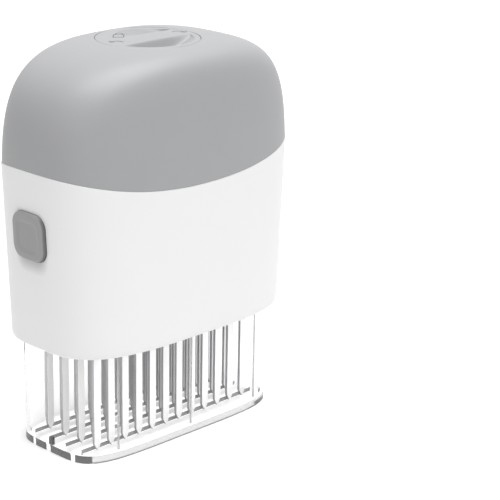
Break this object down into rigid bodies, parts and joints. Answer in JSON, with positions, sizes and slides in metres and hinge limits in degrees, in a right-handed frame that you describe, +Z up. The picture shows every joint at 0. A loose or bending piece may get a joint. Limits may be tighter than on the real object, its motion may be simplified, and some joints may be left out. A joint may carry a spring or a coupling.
{
  "type": "blade meat tenderizer",
  "caption": "Hand press with a grey dome and white body, a clear sprung guard round rows of flat steel blades, a lock knob on top and a release button at each end.",
  "frame": {"origin": "middle of the guard's foot, on the surface that the press stands on", "axes": "+X from the left button to the right button, +Y from front to rear, +Z up to the knob"},
  "size_m": [0.1224, 0.0646, 0.1569],
  "materials": {
    "dome_grey": "fine matte grain, soft highlights",
    "body_white": "satin white moulding",
    "button_grey": "matte grain, a little darker than the dome",
    "clear_guard": "clear polished moulding",
    "blade_steel": "ground flat steel",
    "fastener_steel": "plain bright steel",
    "spring_steel": "drawn spring wire",
    "frame_grey": "plain moulded plastic",
    "holder_white": "plain moulded plastic"
  },
  "bodies": {
    "handle": {"dome_cap": "dome_grey", "knob_well": "dome_grey", "body_shell": "body_white", "inner_frame": "frame_grey", "blade_holder": "holder_white", "blade_clamp_plate": "holder_white", "handle_screws": "fastener_steel", "clamp_screws": "fastener_steel", "spring_guide_rods": "fastener_steel", "blade_row_1": "blade_steel", "blade_row_2": "blade_steel", "blade_row_3": "blade_steel", "blade_row_4": "blade_steel", "left_front_return_spring": "spring_steel", "left_rear_return_spring": "spring_steel", "right_front_return_spring": "spring_steel", "right_rear_return_spring": "spring_steel", "left_button_spring": "spring_steel", "right_button_spring": "spring_steel"},
    "guard": {"guard_sleeve": "clear_guard", "guard_foot": "clear_guard"},
    "left_button": {"left_release_button": "button_grey"},
    "right_button": {"right_release_button": "button_grey"},
    "lock": {"lock_knob": "dome_grey", "knob_retaining_clip": "fastener_steel", "lock_cam": "frame_grey", "cam_washer": "fastener_steel", "cam_screw": "fastener_steel"}
  },
  "joints": [
    {"name": "guard_press", "type": "slide", "parent": "handle", "child": "guard", "axis": [0, 0, 1], "range_m": [0, 0.028], "stiffness_N_per_m": 600, "springref_m": -0.015, "deforming": ["left_front_return_spring", "left_rear_return_spring", "right_front_return_spring", "right_rear_return_spring"]},
    {"name": "left_button_push", "type": "slide", "parent": "handle", "child": "left_button", "axis": [1, 0, 0], "range_m": [0, 0.003], "stiffness_N_per_m": 1500, "springref_m": -0.001, "deforming": ["left_button_spring"]},
    {"name": "right_button_push", "type": "slide", "parent": "handle", "child": "right_button", "axis": [-1, 0, 0], "range_m": [0, 0.003], "stiffness_N_per_m": 1500, "springref_m": -0.001, "deforming": ["right_button_spring"]},
    {"name": "lock_knob_turn", "type": "hinge", "parent": "handle", "child": "lock", "pos_m": [0, 0, 0.15], "axis": [0, 0, 1], "range_deg": [0, 90]}
  ]
}
